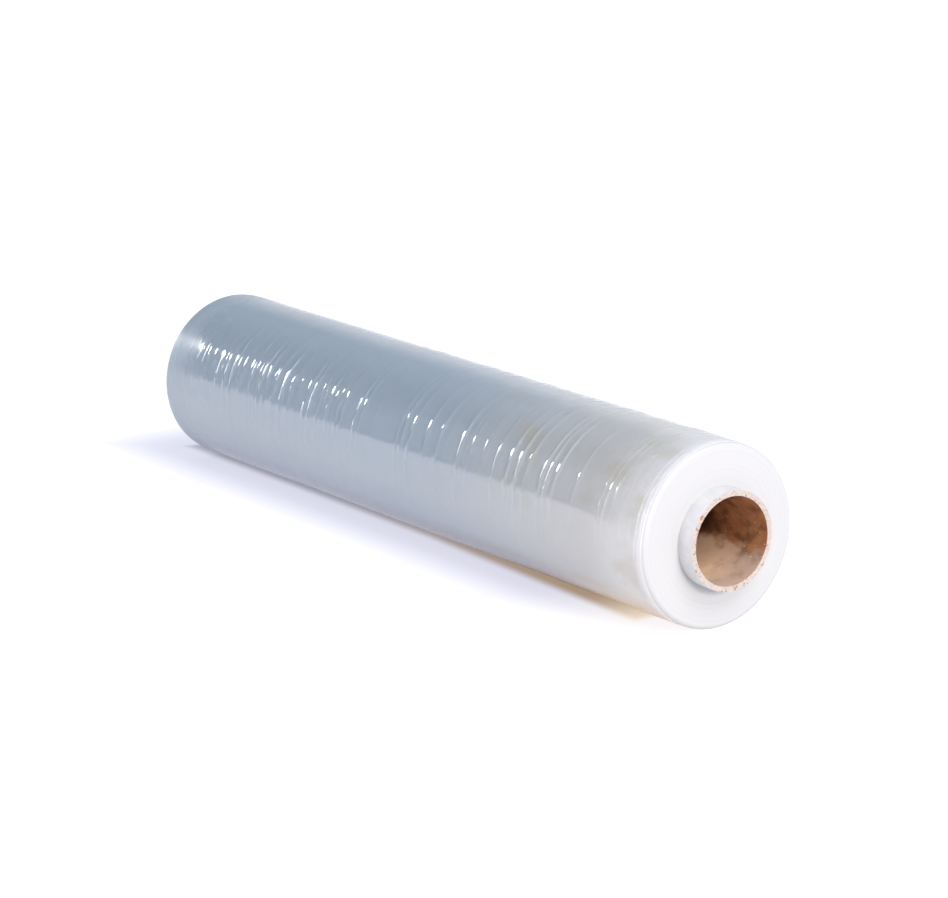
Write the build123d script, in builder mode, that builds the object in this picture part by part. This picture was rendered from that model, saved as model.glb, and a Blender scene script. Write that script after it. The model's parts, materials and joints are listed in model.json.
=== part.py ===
from build123d import *
from math import pi, sqrt
import os

# A roll of clear body wrap film, wound on a spiral-wound cardboard core and lying on its side.
# X runs along the core. The origin is on the surface that the roll lies on, under its middle.
# All lengths are in millimetres and all angles in degrees.

# Film roll
film_width = 500.0
roll_diameter = 106.0
flat_spot_width = 14.0  # the roll's own weight presses its underside flat
tail_step = 0.3  # the folded tail of the film, where the outermost turn ends
tail_angle = 30.0  # up from level, on the side away from the viewer
edge_band_width = 8.0  # the outermost turns stop this far short of each end
edge_band_drop = 0.5
rim_radius = 2.5
ridge_width = 6.0
ridge_height = 0.45
turn_relief = 0.25  # how far packs of turns stand out of line on the end faces

# Cardboard core
core_bore = 50.8
core_wall = 3.1
core_overhang = 11.5
ply_width = 90.0
seam_width = 0.8
seam_depth = 0.5

# Groups of tight ridges round the roll, from its far end to its near end. Each group starts at a
# share of the film's width from the middle, and its ridges lie side by side, each with its width
# and height as shares of the ridge sizes.
ridge_group_shares = [
    (-0.392, [(1.1, 0.9)]),
    (-0.332, [(1.2, 0.8)]),
    (-0.298, [(1.1, 1.0), (1.2, 0.8)]),
    (-0.216, [(1.1, 0.9)]),
    (-0.178, [(1.2, 0.9)]),
    (-0.132, [(0.9, 1.0), (1.1, 0.7)]),
    (-0.070, [(1.1, 1.0)]),
    (0.030, [(1.2, 0.8)]),
    (0.078, [(1.0, 0.9)]),
    (0.252, [(1.1, 1.0), (1.1, 0.8)]),
    (0.308, [(1.3, 1.0)]),
    (0.411, [(0.8, 0.9), (0.8, 1.0), (0.8, 0.9)]),
]

# How an end face leans in and out between packs of turns: shares of the way in from the rim to the
# core, each with a share of the relief.
end_face_shares = [(0.0, 0.2), (0.45, 1.0), (1.0, 0.0)]
rim_bevel_share = 0.3

# Places that follow from the sizes above
roll_radius = roll_diameter / 2
half_width = film_width / 2
axis_height = sqrt(roll_radius**2 - (flat_spot_width / 2) ** 2)
bore_radius = core_bore / 2
core_radius = bore_radius + core_wall
core_length = film_width + 2 * core_overhang
cut_overrun = core_wall

middle = Vector(0, 0, axis_height)
cross_plane = Plane(origin=middle, x_dir=(0, 1, 0), z_dir=(1, 0, 0))

# The four-centre spiral: each quarter of the outermost turn swings about its own corner of a
# small square, so that a whole turn grows by the tail's step.
quarters = 4
quarter_arc = 360 / quarters
centre_step = tail_step / quarters


def film_end_points(side, radius):
    """The film's profile at one end: down from the outermost turns, round the rim and in to the core."""
    wrap_edge = side * (half_width - edge_band_width)
    band_radius = radius - edge_band_drop
    rim_bevel = rim_bevel_share * rim_radius
    face_depth = band_radius - rim_radius - core_radius
    points = [
        (wrap_edge, radius),
        (wrap_edge, band_radius),
        (side * (half_width - rim_radius), band_radius),
        (side * (half_width - rim_bevel), band_radius - rim_bevel),
    ]
    for way_in_share, relief_share in end_face_shares:
        face = side * (half_width - relief_share * turn_relief)
        points.append((face, core_radius + (1 - way_in_share) * face_depth))
    return points + [(points[-1][0], bore_radius)]


def film_ridge_points(radius):
    """The outside of the film's profile: a crest and a foot for each ridge, from the far end."""
    points = []
    for start_share, ridge_shares in ridge_group_shares:
        foot = start_share * film_width
        points.append((foot, radius))
        for width_share, height_share in ridge_shares:
            width = width_share * ridge_width
            points.append((foot + width / 2, radius + height_share * ridge_height))
            foot += width
            points.append((foot, radius))
    return points


# Wound film
with BuildPart() as film_roll:
    for quarter in range(quarters):
        outward = Vector(0, 1, 0).rotate(Axis.X, tail_angle + quarter * quarter_arc)
        onward = outward.rotate(Axis.X, quarter_arc)
        centre = middle + (outward - onward) * (centre_step / 2)
        radius = roll_radius + centre_step * ((quarters - 1) / 2 - quarter)
        with BuildSketch(Plane(origin=centre, x_dir=(1, 0, 0), z_dir=onward)):
            with BuildLine():
                far_end = film_end_points(-1, radius)
                near_end = film_end_points(1, radius)
                Polyline(*reversed(far_end), *film_ridge_points(radius), *near_end, close=True)
            make_face()
        revolve(axis=Axis(centre, (1, 0, 0)), revolution_arc=quarter_arc)
    # the seat on the core, and the flat spot that the roll lies on
    with BuildSketch(cross_plane):
        Circle(core_radius)
    extrude(amount=core_length / 2, both=True, mode=Mode.SUBTRACT)
    split(bisect_by=Plane.XY, keep=Keep.TOP)


# Cardboard core
with BuildPart() as cardboard_core:
    with BuildSketch(cross_plane):
        Circle(core_radius)
        Circle(bore_radius, mode=Mode.SUBTRACT)
    extrude(amount=core_length / 2, both=True)
    # the seam between neighbouring turns of the inner ply, which climbs a ply's width along each turn
    bore_round = 2 * pi * bore_radius
    seam_pitch = ply_width * bore_round / sqrt(bore_round**2 - ply_width**2)
    seam_length = core_length + 2 * cut_overrun
    seam_start = middle - Vector(seam_length / 2, 0, 0)
    seam = Helix(seam_pitch, seam_length, bore_radius, seam_start, (1, 0, 0), mode=Mode.PRIVATE)
    with BuildSketch(Plane(origin=seam @ 0, x_dir=seam @ 0 - seam_start, z_dir=seam % 0)):
        Polygon((seam_depth, 0), (-seam_depth, seam_width), (-seam_depth, -seam_width), align=None)
    sweep(path=seam, is_frenet=True, mode=Mode.SUBTRACT)

film_roll.part.label = "film_roll"
cardboard_core.part.label = "cardboard_core"

os.makedirs("parts", exist_ok=True)
export_step(film_roll.part, "parts/film_roll.step")
export_step(cardboard_core.part, "parts/cardboard_core.step")
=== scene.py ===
import json
import math

import bmesh
import bpy
import numpy as np
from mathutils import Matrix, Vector


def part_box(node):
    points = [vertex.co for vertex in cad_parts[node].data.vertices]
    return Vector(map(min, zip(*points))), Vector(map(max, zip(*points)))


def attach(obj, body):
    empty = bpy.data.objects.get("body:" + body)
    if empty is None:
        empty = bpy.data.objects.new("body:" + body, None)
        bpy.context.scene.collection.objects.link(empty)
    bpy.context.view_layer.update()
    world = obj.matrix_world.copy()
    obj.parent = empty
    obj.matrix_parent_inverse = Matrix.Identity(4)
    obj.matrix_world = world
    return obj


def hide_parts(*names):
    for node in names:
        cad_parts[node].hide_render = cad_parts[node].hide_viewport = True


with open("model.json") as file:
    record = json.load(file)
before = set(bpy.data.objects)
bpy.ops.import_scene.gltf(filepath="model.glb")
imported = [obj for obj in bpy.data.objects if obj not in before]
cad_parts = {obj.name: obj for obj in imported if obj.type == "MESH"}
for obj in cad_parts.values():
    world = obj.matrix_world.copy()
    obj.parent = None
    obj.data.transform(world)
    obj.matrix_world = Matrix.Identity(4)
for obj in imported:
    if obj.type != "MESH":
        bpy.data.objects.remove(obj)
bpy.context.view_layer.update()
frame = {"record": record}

# A roll of clear body wrap film on a spiral-wound cardboard core, lying on its side. X runs along
# the core, and the near end is at +X. Angles round the roll are measured from +Y up through +Z.

# Sizes from the frame
MM = 0.001
bore_mount = next(mount for mount in frame["record"]["mounts"] if mount["name"] == "core_bore")
AXIS_HEIGHT = bore_mount["pos_m"][2]
BORE_RADIUS = bore_mount["dims"]["r_mm"] * MM
CORE_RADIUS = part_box("cardboard_core")[1][1]
HALF_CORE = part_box("cardboard_core")[1][0]
HALF_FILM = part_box("film_roll")[1][0]
CORE_WALL = CORE_RADIUS - BORE_RADIUS

# Sizes of the wound film
ROLL_RADIUS = 53 * MM
TAIL_STEP = 0.3 * MM
TAIL_ANGLE = math.radians(30)
TAIL_SLOPE = 0.003  # half the angle over which the tail's edge drops, in radians
RIM_RADIUS = 2.5 * MM
OUTER_WRAP_SHORT = 8 * MM  # the outermost turns stop this far from each end face
NEXT_WRAP_SHORT = 4.4 * MM
WRAP_EDGE_ROOM = 3 * MM  # how far the ragged edges of the outermost turns may stray
WRAP_DROP = 0.16 * MM  # the step down at the edge of each of these turns
SEAT_GAP = 0.02 * MM  # between the film and the core
FACE_DIP = 0.04 * MM  # how far packs of turns stand out of line on the end faces
FINE_HILLS = 0.03 * MM
BROAD_HILLS = 0.10 * MM

# Sizes of the cardboard core
PLY_WIDTH = 90 * MM
PLY_WAVE = 0.06 * MM
PLY_HALF_WAVES = 5  # across the inner ply's width
SEAM_HALF_WIDTH = 0.6 * MM
SEAM_DEPTH = 0.12 * MM
SEAM_START = math.radians(90)  # where the seam is, just outside the far end
SAWN_STEPS = 12  # steps across the wall on the sawn ends
SAWN_STEP_DEPTH = 0.10 * MM

# Tight rings round the film: place along the core, width and height, in millimetres.
RIDGES = [
    (-213, 4.5, 0.12), (-205, 4.5, 0.17), (-198, 4.0, 0.15), (-188, 5.0, 0.25), (-180, 4.0, 0.17),
    (-172, 4.5, 0.18), (-163, 5.5, 0.28), (-154, 4.0, 0.16), (-147, 5.0, 0.25), (-140, 4.5, 0.23),
    (-134, 4.5, 0.22), (-123, 5.0, 0.26), (-115, 4.0, 0.16), (-105, 5.5, 0.28), (-97, 4.0, 0.15),
    (-87, 4.5, 0.28), (-82, 4.0, 0.22), (-73, 4.0, 0.15), (-63, 4.0, 0.31), (-57, 4.5, 0.26),
    (-47, 4.5, 0.28), (-32, 4.0, 0.32), (-27, 4.0, 0.26), (-14, 4.0, 0.10), (12, 4.0, 0.30),
    (18, 4.5, 0.34), (25, 4.0, 0.32), (40, 5.0, 0.40), (53, 4.5, 0.38), (60, 3.5, 0.12),
    (74, 4.6, 0.46), (84, 3.0, 0.22), (96, 3.2, 0.26), (109, 3.2, 0.30), (122, 4.2, 0.50),
    (131, 4.2, 0.54), (139, 4.0, 0.54), (153, 4.2, 0.58), (158, 3.4, 0.46), (165, 4.0, 0.54),
    (184, 3.2, 0.32), (208, 2.1, 0.24), (213, 2.1, 0.27), (218, 2.1, 0.24),
]

# Short creases that stretching left in the film. Each stretch of it has: from and to along the core
# in millimetres, how many creases, their steepest slant, and their half length and greatest height
# in millimetres.
CREASES = [
    (-224, -15, 420, 1.2, 7, 0.14),
    (-15, 200, 60, 0.3, 10, 0.06),
    (202, 241, 90, 0.25, 14, 0.09),
]
CREASE_HALF_WIDTH = 1.5 * MM
CREASE_REACH = 12 * MM  # no crease goes farther than this along the core

# The film is smoother over its top: from and to round the roll and the fade at either side, in
# radians, and the share of the relief left there, by place along the core in metres.
TOP_START, TOP_END, TOP_FADE = 0.4, 2.3, 0.4
LEFT_ON_TOP = [(-0.06, 0.2), (-0.02, 0.6), (0.18, 0.6), (0.20, 1.0)]

# How fine the meshes are
FILM_ROWS = 152  # rows of the film's mesh round the roll
COLUMNS_A_RIDGE = 6
FINE_COLUMN = 1.0  # between columns in the crinkled far half and beside the near end, in millimetres
WIDE_COLUMN = 2.0  # and elsewhere
RIM_STEPS = 6
FACE_STEPS = 12
SIDE_PARTS = 9  # parts of each film end that show the film's side: both wrap edges and a rim's start
CORE_ROWS = 200  # rows of the core's mesh round its bore
PLY_COLUMNS = 20
SHARP = math.radians(40)  # edges sharper than this are shaded as corners
WELD = 0.002 * MM  # points closer than this are one

chance = np.random.default_rng(7)


# Mesh helpers

def wavering(angle, waves, size):
    """A gentle random variation round the roll, the same after a whole turn."""
    total = np.zeros_like(angle)
    for wave in waves:
        total = total + chance.normal() * np.cos(wave * angle + chance.uniform(0, 2 * math.pi))
    return size * total / math.sqrt(len(waves))


def hills(along, angle, cell, cells_round):
    """Smooth random hills over the film: one per cell along the roll and per cell round it."""
    heights = chance.normal(size=(int(np.ptp(along) / cell) + 3, cells_round))
    u = (along - along.min()) / cell
    v = angle / (2 * math.pi) * cells_round
    column, row = np.floor(u).astype(int), np.floor(v).astype(int)
    u, v = u - column, v - row
    u, v = u * u * (3 - 2 * u), v * v * (3 - 2 * v)
    total = 0
    for across, share_across in ((0, 1 - u), (1, u)):
        for up, share_up in ((0, 1 - v), (1, v)):
            corner = heights[column + across, (row + up) % cells_round]
            total = total + corner * share_across * share_up
    return total


def round_the_axis(x, radius, angle):
    """Points at a place along the roll, a radius and an angle, as one array."""
    return np.stack(np.broadcast_arrays(
        x, radius * np.cos(angle), AXIS_HEIGHT + radius * np.sin(angle)
    ), axis=-1)


def joined_rows(index):
    """The quads between neighbouring rings of points, each ring going once round the roll."""
    onward = np.roll(index, -1, axis=1)
    return np.stack([index[:-1], onward[:-1], onward[1:], index[1:]], axis=-1).reshape(-1, 4)


def new_piece(name, points, faces, finishes, finish_of_face, node):
    """Makes a closed mesh piece that rides on the roll and stands for a node of the frame."""
    mesh = bpy.data.meshes.new(name)
    mesh.from_pydata(points.reshape(-1, 3).tolist(), [], faces.tolist())
    for finish in finishes:
        mesh.materials.append(finish)
    mesh.polygons.foreach_set("material_index", np.asarray(finish_of_face, np.int32))
    mesh.polygons.foreach_set("use_smooth", np.ones(len(mesh.polygons), bool))
    work = bmesh.new()
    work.from_mesh(mesh)
    bmesh.ops.remove_doubles(work, verts=work.verts, dist=WELD)
    bmesh.ops.dissolve_degenerate(work, edges=work.edges, dist=WELD / 2)
    bmesh.ops.delete(work, geom=[v for v in work.verts if not v.link_faces], context="VERTS")
    bmesh.ops.recalc_face_normals(work, faces=work.faces)
    work.to_mesh(mesh)
    mesh.set_sharp_from_angle(angle=SHARP)
    open_edges = sum(len(edge.link_faces) != 2 for edge in work.edges)
    triangles = sum(len(face.verts) - 2 for face in work.faces)
    print(name, "has", triangles, "triangles and", open_edges, "open edges")
    work.free()
    piece = bpy.data.objects.new(name, mesh)
    bpy.context.scene.collection.objects.link(piece)
    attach(piece, "root")
    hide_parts(node)


# Material helpers

def linear(hex_colour):
    """An sRGB hex colour as linear red, green, blue and alpha."""
    channels = [int(hex_colour[i : i + 2], 16) / 255 for i in (0, 2, 4)]
    return [c / 12.92 if c <= 0.04045 else ((c + 0.055) / 1.055) ** 2.4 for c in channels] + [1.0]


def add(tree, kind, inputs=(), **settings):
    """Adds one node. An input takes a number, a colour, a vector, or a node or one of its outputs."""
    node = tree.nodes.new(kind)
    for name, value in settings.items():
        setattr(node, name, value)
    for name, value in dict(inputs).items():
        if isinstance(value, bpy.types.Node):
            value = value.outputs[0]
        if isinstance(value, bpy.types.NodeSocket):
            tree.links.new(value, node.inputs[name])
        else:
            node.inputs[name].default_value = value
    return node


def new_finish(name):
    """A material, its empty node tree, and the place on the piece in metres."""
    material = bpy.data.materials.new(name)
    material.use_nodes = True
    tree = material.node_tree
    tree.nodes.clear()
    return material, tree, add(tree, "ShaderNodeTexCoord").outputs["Object"]


def grain(tree, place, grain_mm, detail=3.0):
    """Noise whose grains measure so many millimetres along the roll, across it and upward."""
    per_grain = [1 / (size * MM) for size in grain_mm]
    cells = add(tree, "ShaderNodeVectorMath", {0: place, 1: per_grain}, operation="MULTIPLY")
    return add(tree, "ShaderNodeTexNoise", {"Vector": cells, "Scale": 1.0, "Detail": detail})


def blend(tree, pattern, span, first, second):
    """A colour that goes from the first to the second as the pattern's value crosses a span."""
    low, high, most = span
    limits = {"Value": pattern, "From Min": low, "From Max": high, "To Max": most}
    share = add(tree, "ShaderNodeMapRange", limits, interpolation_type="SMOOTHSTEP")
    mix = add(tree, "ShaderNodeMix", {0: share, 6: first, 7: second}, data_type="RGBA")
    return mix.outputs[2]


def coat(tree, tone, relief, depth_mm, **shine):
    """The surface itself: its colour, the relief of its pattern, and its gloss."""
    bump = add(tree, "ShaderNodeBump", {"Height": relief, "Strength": 1.0, "Distance": depth_mm * MM})
    sockets = {"Base Color": tone, "Normal": bump}
    for name, value in shine.items():
        sockets[name.replace("_", " ")] = value
    surface = add(tree, "ShaderNodeBsdfPrincipled", sockets)
    add(tree, "ShaderNodeOutputMaterial", {"Surface": surface})


# Materials

# A blend's span is in metres where its pattern is a place on the roll, and in the noise's own
# values, from 0 to 1, where its pattern is a grain.

def wound_clear_film():
    """Linear low-density polyethylene, cast and wound tight. Hundreds of clear turns look grey-blue
    and cloudy, light soaks some way into them, and the stacked faces mirror far more than one
    sheet of plastic would."""
    material, tree, place = new_finish("wound_clear_film")
    along, _, height = add(tree, "ShaderNodeSeparateXYZ", {"Vector": place}).outputs
    # light that enters through the white near end face makes the turns beside it paler
    tone = blend(tree, along, (0.0, 0.24, 1.0), linear("8A96A0"), linear("A8A8A6"))
    tone = blend(tree, along, (0.19, 0.245, 0.6), tone, linear("C8C8C8"))
    # the brown core shows through faintly, in patches
    patches = grain(tree, place, (38, 24, 24))
    patches = add(tree, "ShaderNodeMath", {0: along, 1: 0.8, 2: patches}, operation="MULTIPLY_ADD")
    tone = blend(tree, patches, (0.62, 0.86, 0.45), tone, linear("9F9987"))
    # painted shade on the pressed underside, where little of the light that soaks in gets, and painted
    # warm light there towards the near end, light that has passed through the core's brown
    under = blend(tree, along, (-0.12, 0.10, 1.0), linear("6A7681"), linear("64534A"))
    under = blend(tree, along, (0.12, 0.225, 1.0), under, linear("BA9E80"))
    tone = blend(tree, height, (0.027, 0.003, 1.0), tone, under)
    # painted shadow: the film is darkest along the line where it meets the floor
    contact_shadow = blend(tree, along, (0.15, 0.21, 1.0), linear("463D38"), under)
    tone = blend(tree, height, (0.010, 0.003, 0.65), tone, contact_shadow)
    # a ragged pale band beside the near end face only: partly the film's edges, which scatter light, and
    # partly painted light from the lit end face
    ragged = grain(tree, place, (5, 4, 4))
    reach = add(tree, "ShaderNodeMath", {0: ragged, 1: 0.005, 2: along}, operation="MULTIPLY_ADD")
    tone = blend(tree, reach, (0.242, 0.249, 0.8), tone, linear("C9C9CA"))
    # fine tight lines round the roll, about a millimetre apart
    lines = grain(tree, place, (1.1, 60, 60), 2.0)
    # and crinkles, up to 15 times as strong, where the film is slack: between the ridges of the far
    # half and beside the near end
    slack = add(tree, "ShaderNodeMapRange", {
        "Value": along, "From Min": -0.02, "From Max": -0.06, "To Max": 8.0,
    })
    slack = add(tree, "ShaderNodeMapRange", {
        "Value": along, "From Min": 0.12, "From Max": 0.22, "To Min": slack, "To Max": 15.0,
    })
    crinkles = grain(tree, place, (2.2, 6, 6), 2.0)
    relief = add(tree, "ShaderNodeMath", {0: crinkles, 1: slack, 2: lines}, operation="MULTIPLY_ADD")
    # the fine wrinkles beside both ends blur what the film mirrors
    outward = add(tree, "ShaderNodeMath", {0: along}, operation="ABSOLUTE")
    blur = add(tree, "ShaderNodeMapRange", {
        "Value": outward, "From Min": 0.208, "From Max": 0.235, "To Min": 0.085, "To Max": 0.35,
    })
    coat(tree, tone, relief, 0.012, Roughness=blur, IOR=2.2, Subsurface_Weight=1.0,
         Subsurface_Radius=(1.0, 1.0, 1.0), Subsurface_Scale=8 * MM)
    return material


def film_edges():
    """The edges of the same film, over a thousand turns side by side: they scatter light like
    frosted glass and look milk white, with faint rings where packs of turns stand out of line."""
    material, tree, place = new_finish("film_edges")
    across = add(tree, "ShaderNodeVectorMath", {0: place, 1: (0, 0, -AXIS_HEIGHT)}, operation="ADD")
    across = add(tree, "ShaderNodeVectorMath", {0: across, 1: (0, 1, 1)}, operation="MULTIPLY")
    radius = add(tree, "ShaderNodeVectorMath", {0: across}, operation="LENGTH").outputs["Value"]
    # packs of turns about 1.5 mm thick
    rings = add(tree, "ShaderNodeTexNoise", {"W": radius, "Scale": 700.0, "Detail": 4.0},
                noise_dimensions="1D")
    tone = blend(tree, rings, (0.3, 0.7, 1.0), linear("ACACAD"), linear("AFAFAF"))
    coat(tree, tone, rings, 0.02, Roughness=0.42, IOR=1.5)
    return material


def kraft_ply():
    """Unbleached kraft board inside the core: brown, matt and fibrous, blotchy where glue soaked in,
    with pale broken fibres. The bore's lower part is painted paler, as painted light falling in, and its
    depths darker, as painted shade."""
    material, tree, place = new_finish("kraft_ply")
    fibres = grain(tree, place, (2.5, 0.7, 0.7), 4.0)
    blotches = grain(tree, place, (9, 7, 7), 3.0)
    tone = blend(tree, blotches, (0.35, 0.68, 1.0), linear("A26A42"), linear("B27C50"))
    # painted shade: the bore is darker deeper in from each end, where less light reaches
    along, _, height = add(tree, "ShaderNodeSeparateXYZ", {"Vector": place}).outputs
    depth = add(tree, "ShaderNodeMath", {0: along}, operation="ABSOLUTE")
    depth = add(tree, "ShaderNodeMath", {0: blotches, 1: 0.02, 2: depth}, operation="MULTIPLY_ADD")
    tone = blend(tree, depth, (0.240, 0.210, 1.0), tone, linear("421E06"))
    # darkest where glue has soaked right through
    soaked = grain(tree, place, (12, 8, 8), 2.0)
    tone = blend(tree, soaked, (0.44, 0.66, 0.5), tone, linear("2E1403"))
    # painted light: the lower part of the bore, below a level line, is paler, more so farther in, and
    # less on the glued blotches
    painted_lit_bottom = blend(tree, depth, (0.262, 0.235, 1.0), linear("B39B8A"), linear("E9C9A8"))
    painted_lit_bottom = blend(tree, blotches, (0.5, 0.75, 0.35), painted_lit_bottom, linear("8A6445"))
    level = add(tree, "ShaderNodeMath", {0: blotches, 1: 0.012, 2: height}, operation="MULTIPLY_ADD")
    lit_below = (AXIS_HEIGHT - 2 * MM, AXIS_HEIGHT - 8.5 * MM, 0.95)
    tone = blend(tree, level, lit_below, tone, painted_lit_bottom)
    broken = grain(tree, place, (2.0, 1.4, 1.4), 2.0)
    tone = blend(tree, broken, (0.66, 0.74, 0.8), tone, linear("DDC3A2"))
    coat(tree, tone, fibres, 0.15, Roughness=0.85, IOR=1.47)
    return material


def sawn_board():
    """The core's sawn ends: raw board fibre, cream to pink, torn brown in places along its edges."""
    material, tree, place = new_finish("sawn_board")
    fibres = grain(tree, place, (1, 0.9, 0.9), 4.0)
    tone = blend(tree, fibres, (0.3, 0.7, 1.0), linear("A1968F"), linear("B1A8A1"))
    torn = grain(tree, place, (4, 2.2, 2.2), 3.0)
    tone = blend(tree, torn, (0.58, 0.66, 0.9), tone, linear("8F6548"))
    coat(tree, tone, fibres, 0.15, Roughness=0.9, IOR=1.47)
    return material


def white_lined_ply():
    """The core's outer ply, a smooth white-lined paper, pale grey beside the milk-white film."""
    material, tree, place = new_finish("white_lined_ply")
    clouds = grain(tree, place, (8, 6, 6), 4.0)
    tone = blend(tree, clouds, (0.3, 0.7, 1.0), linear("B9BABC"), linear("C3C3C2"))
    coat(tree, tone, clouds, 0.03, Roughness=0.6, IOR=1.5)
    return material


# Wound film

def minor_ridges():
    """Lower rings that crowd between the others in the film's far half, and a few in its near half."""
    # from and to along the core in millimetres, and how many
    stretches = [(-216, -52, 24), (-186, -118, 12), (80, 200, 8)]
    spots = [chance.uniform(start, stop) for start, stop, count in stretches for _ in range(count)]
    return [(x, chance.uniform(2.8, 4), chance.uniform(0.08, 0.2)) for x in spots]


def film_columns(ridges):
    """Places of the film's mesh columns between its outermost wrap edges, close on the ridges."""
    edge = HALF_FILM - OUTER_WRAP_SHORT - WRAP_EDGE_ROOM
    places = [-edge]
    while places[-1] < edge - 0.9 * MM:
        x = places[-1]
        beside = [
            width / COLUMNS_A_RIDGE for place, width, _ in ridges if abs(x / MM - place) < 0.65 * width
        ]
        crinkled = x < -0.01 or x > 0.2
        places.append(x + min(beside + [FINE_COLUMN if crinkled else WIDE_COLUMN]) * MM)
    places[-1] = edge
    return np.array(places)


def ridge_heights(ridges, along, angle):
    """Height of the tight rings over the smooth film. Each one wanders, swells and fades, and those
    in the far half are crinkled. The roll's weight has pressed them flatter underneath."""
    height = np.zeros_like(along)
    pressed = 1 - 0.9 * np.clip(-1.6 * np.sin(angle + 0.15), 0, 1)
    for place, width, tall in ridges:
        crinkle = np.clip((-20 - place) / 40, 0.12, 1)
        centre = place * MM + wavering(angle, (1, 2, 3, 5), 0.4 * MM)
        centre = centre + crinkle * wavering(angle, (19, 27, 38), 0.5 * MM)
        reach = width * MM / 2 * (1 + wavering(angle, (2, 4, 7), 0.1))
        swell = 0.76 + wavering(angle, (1, 3, 5, 8), 0.12 + 0.16 * crinkle)
        swell = np.clip(swell + crinkle * wavering(angle, (13, 21, 31), 0.4), 0.6 - 0.55 * crinkle, 1.25)
        t = np.clip(np.abs(along - centre) / reach, 0, 1)
        height = height + tall * MM * swell * pressed * (1 - t * t) ** 2
    return height


def crease_heights(columns, angle):
    """Height of the short slanted creases, most of them in the film's far half."""
    height = np.zeros((len(columns), len(angle)))
    for start, stop, count, steepest, half_length, tall in CREASES:
        for _ in range(count):
            x = chance.uniform(start, stop) * MM
            turn = chance.uniform(-math.pi, math.pi)
            slant = chance.uniform(-steepest, steepest)
            fall_off = chance.uniform(0.6, 1.3) * half_length * MM
            near = np.abs(columns - x) < CREASE_REACH
            up = ((angle - turn + math.pi) % (2 * math.pi) - math.pi) * ROLL_RADIUS
            t = np.clip(np.abs(columns[near, None] - x - slant * up) / CREASE_HALF_WIDTH, 0, 1)
            fade = np.clip(1 - (up / fall_off) ** 2, 0, 1)
            height[near] += chance.uniform(0.3, 1) * tall * MM * (1 - t * t) ** 2 * fade
    return height


def build_film(side, edges):
    """The film roll as one closed surface: its outside, both rims and end faces, and its seat."""
    angle = np.linspace(0, 2 * math.pi, FILM_ROWS, endpoint=False)
    # two rows close together stand on either side of the tail's edge
    tail_row = int(np.argmin(np.abs(angle - TAIL_ANGLE)))
    angle[tail_row] = TAIL_ANGLE - TAIL_SLOPE
    angle = np.insert(angle, tail_row + 1, TAIL_ANGLE + TAIL_SLOPE)
    past_tail = (angle - TAIL_ANGLE) % (2 * math.pi) / (2 * math.pi)
    wrap_radius = ROLL_RADIUS + TAIL_STEP * (0.5 - past_tail)

    ridges = RIDGES + minor_ridges()
    columns = film_columns(ridges)
    along, around = np.meshgrid(columns, angle, indexing="ij")
    rise = ridge_heights(ridges, along, around)
    rise = rise + crease_heights(columns, angle)
    over_top = np.clip((around - TOP_START) / TOP_FADE, 0, 1)
    over_top = over_top * np.clip((TOP_END - around) / TOP_FADE, 0, 1)
    left_there = np.interp(along, *zip(*LEFT_ON_TOP))
    rise = rise * (1 - (1 - left_there) * over_top)
    rise = rise + FINE_HILLS * hills(along, around, 9 * MM, 24)
    rise = rise + BROAD_HILLS * hills(along, around, 40 * MM, 9)
    outside = list(zip(along, wrap_radius + rise))

    def film_end(sign):
        """Over the ragged edges of the two outermost wraps, round the rim and down the end face."""
        parts = []
        for short, swing, wraps in ((OUTER_WRAP_SHORT, 1.0, 0), (NEXT_WRAP_SHORT, 0.5, 1)):
            edge = HALF_FILM - short + wavering(angle, (2, 3, 5, 9, 14, 23, 37), swing * MM)
            for offset, drop in ((-0.5, 0.0), (-0.12, 0.12), (0.12, 0.88), (0.5, 1.0)):
                parts.append((edge + offset * MM, wrap_radius - WRAP_DROP * (wraps + drop)))
        top = wrap_radius - 2 * WRAP_DROP
        for turn in np.linspace(0, math.pi / 2, RIM_STEPS):
            x = HALF_FILM - RIM_RADIUS * (1 - math.sin(turn))
            parts.append((x + 0 * angle, top - RIM_RADIUS * (1 - math.cos(turn))))
        for way_in in np.linspace(0, 1, FACE_STEPS + 1)[1:]:
            radius = (top - RIM_RADIUS) * (1 - way_in) + (CORE_RADIUS + SEAT_GAP) * way_in
            # broad packs of turns, of uneven width
            pack = 0.5 + 0.5 * math.sin(way_in * 17 + 1.3 * math.sin(way_in * 9))
            parts.append((HALF_FILM - FACE_DIP * pack + 0 * angle, radius))
        return [(sign * x, radius) for x, radius in parts]

    far, near = film_end(-1)[::-1], film_end(1)
    section = far + outside + near
    x = np.array([part[0] for part in section + section[:1]])
    radius = np.array([part[1] for part in section + section[:1]])
    points = round_the_axis(x, radius, angle)
    points[..., 2] = np.maximum(points[..., 2], 0)  # the flat spot that the roll lies on
    ring = np.arange(len(section))
    is_face = (ring < len(far) - SIDE_PARTS) | (ring >= len(section) - len(near) + SIDE_PARTS)
    finish_of_face = np.repeat(is_face.astype(int), len(angle))
    index = np.arange(points[..., 0].size).reshape(points.shape[:2])
    new_piece("wound_film", points, joined_rows(index), [side, edges], finish_of_face,
              "film_roll")


# Cardboard core

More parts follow.
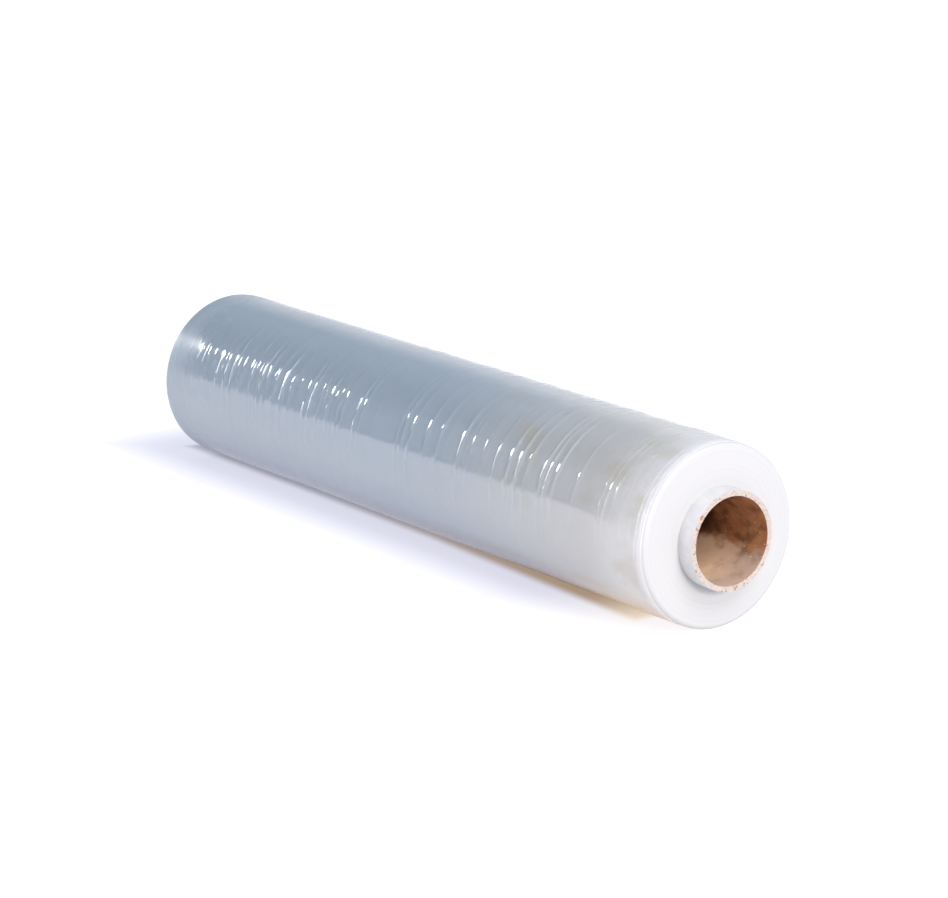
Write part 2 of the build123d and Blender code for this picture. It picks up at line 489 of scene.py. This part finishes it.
def build_core(kraft, sawn, lined):
    """The core as one closed tube. Its bore is the inner ply, a helical strip whose neighbouring
    turns meet at a groove."""
    angle = np.arange(CORE_ROWS) * 2 * math.pi / CORE_ROWS
    around_once = 2 * math.pi * BORE_RADIUS
    pitch = PLY_WIDTH * around_once / math.sqrt(around_once**2 - PLY_WIDTH**2)
    # the strip starts and ends past the sawn ends, and what is past them is pressed flat onto them
    turns = int(2 * HALF_CORE / pitch) + 3
    step = np.arange(-2 * CORE_ROWS, turns * CORE_ROWS + 1)[:, None]
    turned = step / CORE_ROWS
    across = np.concatenate([
        np.array([-1.0, 0.0, 1.0]) * SEAM_HALF_WIDTH,
        np.linspace(SEAM_HALF_WIDTH * 2, pitch - SEAM_HALF_WIDTH, PLY_COLUMNS),
    ])
    x = -HALF_CORE - CORE_WALL + pitch * (turned - SEAM_START / (2 * math.pi)) + across
    inside = np.abs(x) < HALF_CORE
    ply_wave = PLY_WAVE * np.sin(across / pitch * PLY_HALF_WAVES * math.pi)
    relief = ply_wave * (across > SEAM_HALF_WIDTH) + SEAM_DEPTH * (across == 0)
    strip = round_the_axis(
        np.clip(x, -HALF_CORE, HALF_CORE), BORE_RADIUS + np.where(inside, relief, 0),
        2 * math.pi * turned + 0 * x,
    )
    index = np.arange(x.size).reshape(x.shape)
    last_turn = len(step) - CORE_ROWS
    index = np.concatenate([index[:last_turn, :-1], index[CORE_ROWS:, :1]], axis=1)
    strip_faces = np.stack(
        [index[:-1, :-1], index[:-1, 1:], index[1:, 1:], index[1:, :-1]], axis=-1
    ).reshape(-1, 4)

    # the sawn ends, with plies that stand out a little, and the outside with its chipped rims
    rough = wavering(angle, (5, 9, 14, 22, 31, 47), 0.05 * MM)
    chips = np.minimum(0, wavering(angle, (4, 7, 13, 21, 34, 55), 0.40 * MM) + 0.30 * MM)
    rings = []
    for sign in (1, -1):
        end = [(HALF_CORE, BORE_RADIUS + 0 * angle)]
        for k in range(1, SAWN_STEPS + 1):
            last = k == SAWN_STEPS
            radius = BORE_RADIUS + CORE_WALL * k / SAWN_STEPS + (chips if last else rough)
            end.append((HALF_CORE - SAWN_STEP_DEPTH * (k % 2) * (not last), radius))
        end.append((HALF_CORE - 0.6 * MM, CORE_RADIUS + 0.4 * chips))
        for place in (HALF_CORE - 1.5 * MM, (HALF_CORE + HALF_FILM) / 2, HALF_FILM + 0.5 * MM):
            end.append((place, CORE_RADIUS + 0 * angle))
        rings += [(sign * place, radius) for place, radius in end][::sign]
    ring_points = round_the_axis(
        np.array([ring[0] for ring in rings])[:, None], np.array([ring[1] for ring in rings]), angle
    )
    ring_index = x.size + np.arange(ring_points[..., 0].size).reshape(ring_points.shape[:2])
    ring = np.arange(len(rings) - 1)
    is_cut = (ring < SAWN_STEPS) | (ring >= len(rings) - 1 - SAWN_STEPS)
    finishes = [kraft, sawn, lined]
    finish_of_ring = np.where(is_cut, finishes.index(sawn), finishes.index(lined))
    finish_of_face = np.concatenate([
        np.full(len(strip_faces), finishes.index(kraft)), np.repeat(finish_of_ring, CORE_ROWS)
    ])
    points = np.concatenate([strip.reshape(-1, 3), ring_points.reshape(-1, 3)])
    faces = np.concatenate([strip_faces, joined_rows(ring_index)])
    new_piece("core_tube", points, faces, finishes, finish_of_face, "cardboard_core")


# Studio

FLOOR_REACH = 15  # metres each way
FLOOR_GAP = 0.3 * MM  # the floor is this far under the roll
KEY_DISTANCE = 4  # metres from the roll
LAMP_DISTANCE = 2.4


def build_floor():
    """A wide pale floor. Its faint glow stands for light from all round, which softens the shadows.
    It is dim under the roll, and less so in a soft band beside it: a painted shadow."""
    mesh = bpy.data.meshes.new("floor")
    ways = ((-1, -1), (1, -1), (1, 1), (-1, 1))
    corners = [(FLOOR_REACH * x, FLOOR_REACH * y, -FLOOR_GAP) for x, y in ways]
    mesh.from_pydata(corners, [], [(0, 1, 2, 3)])
    floor = bpy.data.objects.new("floor", mesh)
    bpy.context.scene.collection.objects.link(floor)
    material, tree, place = new_finish("pale_floor")
    along, aside, _ = add(tree, "ShaderNodeSeparateXYZ", {"Vector": place}).outputs
    # browner where light has passed through the film and the core, and fading out at the near end
    dim = blend(tree, along, (-0.15, 0.15, 1.0), linear("9394A4"), linear("A38C74"))
    dim = blend(tree, along, (0.15, 0.235, 1.0), dim, linear("F0E2D0"))
    halo = blend(tree, along, (0.12, 0.22, 1.0), linear("D4D4E3"), linear("F1EEF0"))
    # how far a place is from the line under the roll, or past one of the roll's ends
    past_end = add(tree, "ShaderNodeMath", {0: along, 1: 0.034}, operation="ADD")
    past_end = add(tree, "ShaderNodeMath", {0: past_end}, operation="ABSOLUTE")
    past_end = add(tree, "ShaderNodeMath", {0: past_end, 1: -0.226}, operation="ADD")
    beside = add(tree, "ShaderNodeMath", {0: aside}, operation="ABSOLUTE")
    # the dim part widens towards the near end
    spread = add(tree, "ShaderNodeMapRange", {
        "Value": along, "From Min": 0.0, "From Max": 0.20, "To Max": 0.008,
    })
    beside = add(tree, "ShaderNodeMath", {0: beside, 1: spread}, operation="SUBTRACT")
    beside = add(tree, "ShaderNodeMath", {0: beside, 1: past_end}, operation="MAXIMUM")
    # the painted shadow: dim under the roll, a halo beside it, then the open floor's glow
    glow = blend(tree, beside, (0.012, 0.024, 1.0), dim, halo)
    glow = blend(tree, beside, (0.03, 0.10, 1.0), glow, linear("FAF9FF"))
    coat(tree, linear("7C7C7C"), grain(tree, place, (3, 3, 3)), 0.0, Roughness=1.0, IOR=1.0,
         Emission_Color=glow, Emission_Strength=0.95)
    mesh.materials.append(material)


def direction(azimuth, elevation):
    """A unit vector. Azimuth is in degrees from +X towards +Y, and elevation above the horizon."""
    a, e = math.radians(azimuth), math.radians(elevation)
    return np.array([math.cos(a) * math.cos(e), math.sin(a) * math.cos(e), math.sin(e)])


def build_room():
    """Soft pale light all round, except beyond the far end, where the room is dim. The film's side
    mirrors that part: darkest a little to the viewer's side of the roll, and paler either way."""
    world = bpy.data.worlds.new("studio")
    bpy.context.scene.world = world
    world.use_nodes = True
    tree = world.node_tree
    tree.nodes.clear()
    towards = add(tree, "ShaderNodeTexCoord").outputs["Generated"]
    ahead, aside, up = add(tree, "ShaderNodeSeparateXYZ", {"Vector": towards}).outputs
    dim = blend(tree, aside, (-0.2, 0.25, 1.0), linear("505B62"), linear("98A4B2"))
    dim = blend(tree, aside, (0.3, 0.62, 1.0), dim, linear("FBFCFF"))
    dim = blend(tree, aside, (-0.3, -0.62, 1.0), dim, linear("A5B0BC"))
    # the pale backdrop curves up softly from the floor
    dim = blend(tree, up, (0.026, -0.022, 1.0), dim, linear("F4F4FF"))
    tone = blend(tree, ahead, (-0.56, -0.3, 1.0), dim, linear("D9E5FA"))
    background = add(tree, "ShaderNodeBackground", {"Color": tone, "Strength": 1.0})
    add(tree, "ShaderNodeOutputWorld", {"Surface": background})


def aim(thing, ahead):
    """Turns a light or the camera so that it looks along a vector, with its top up."""
    thing.rotation_euler = Vector(ahead).to_track_quat("-Z", "Y").to_euler()


def add_lamp(name, kind, place, power, colour, **settings):
    """A light that shines on the middle of the roll."""
    light = bpy.data.lights.new(name, kind)
    light.energy = power
    light.color = linear(colour)[:3]
    for key, value in settings.items():
        setattr(light, key, value)
    lamp = bpy.data.objects.new(name, light)
    bpy.context.scene.collection.objects.link(lamp)
    lamp.location = place
    aim(lamp, np.array([0, 0, AXIS_HEIGHT]) - place)


def build_lights():
    """A broad soft key above the near end, a panel in front of the end face, a fill beside the roll,
    and beyond the far end a small lamp on its stand. The glints on the flanks of the film's ridges
    are the lamp, and the paler tails below them are the stand."""
    key = KEY_DISTANCE * direction(-3, 55)
    lamp = LAMP_DISTANCE * direction(198.5, 19.5)
    stand = LAMP_DISTANCE * direction(194.5, 9.3)
    add_lamp("key", "SUN", key, 2.0, "FFFCF8", angle=math.radians(34))
    add_lamp("panel", "AREA", np.array([1.3, -0.03, 0.37]), 11, "FFF6F0", shape="SQUARE", size=0.3)
    add_lamp("fill", "AREA", np.array([0.12, -1.2, 0.3]), 6, "FFF0EA", shape="SQUARE", size=0.5)
    add_lamp("lamp", "AREA", lamp, 2.3, "FFFFFF", shape="SQUARE", size=0.18)
    add_lamp("stand", "AREA", stand, 3.0, "FFFFFF", shape="RECTANGLE", size=0.28, size_y=0.72)


# Camera, fitted to the roll's outline

CAMERA_AZIMUTH = 54.22
CAMERA_ELEVATION = 14.03
CAMERA_DISTANCE = 40.30 * ROLL_RADIUS
IMAGE_WIDTH = 948
FOCAL_PIXELS = 3539
AIM_RIGHT = 0.23 * ROLL_RADIUS
AIM_UP = -0.02 * ROLL_RADIUS


def build_camera():
    """The photograph's view, from the near end's side and a little above."""
    back = direction(CAMERA_AZIMUTH - 90, CAMERA_ELEVATION)
    right = direction(CAMERA_AZIMUTH, 0)
    up = np.cross(back, right)
    aimed_at = np.array([0, 0, AXIS_HEIGHT]) + AIM_RIGHT * right + AIM_UP * up
    lens = bpy.data.cameras.new("camera")
    lens.sensor_fit = "HORIZONTAL"
    lens.lens = lens.sensor_width * FOCAL_PIXELS / IMAGE_WIDTH
    camera = bpy.data.objects.new("camera", lens)
    bpy.context.scene.collection.objects.link(camera)
    camera.location = aimed_at + CAMERA_DISTANCE * back
    aim(camera, -back)
    bpy.context.scene.camera = camera


build_camera()
build_film(wound_clear_film(), film_edges())
build_core(kraft_ply(), sawn_board(), white_lined_ply())
build_floor()
build_room()
build_lights()
bpy.context.scene.view_settings.view_transform = "Standard"

bpy.context.view_layer.update()
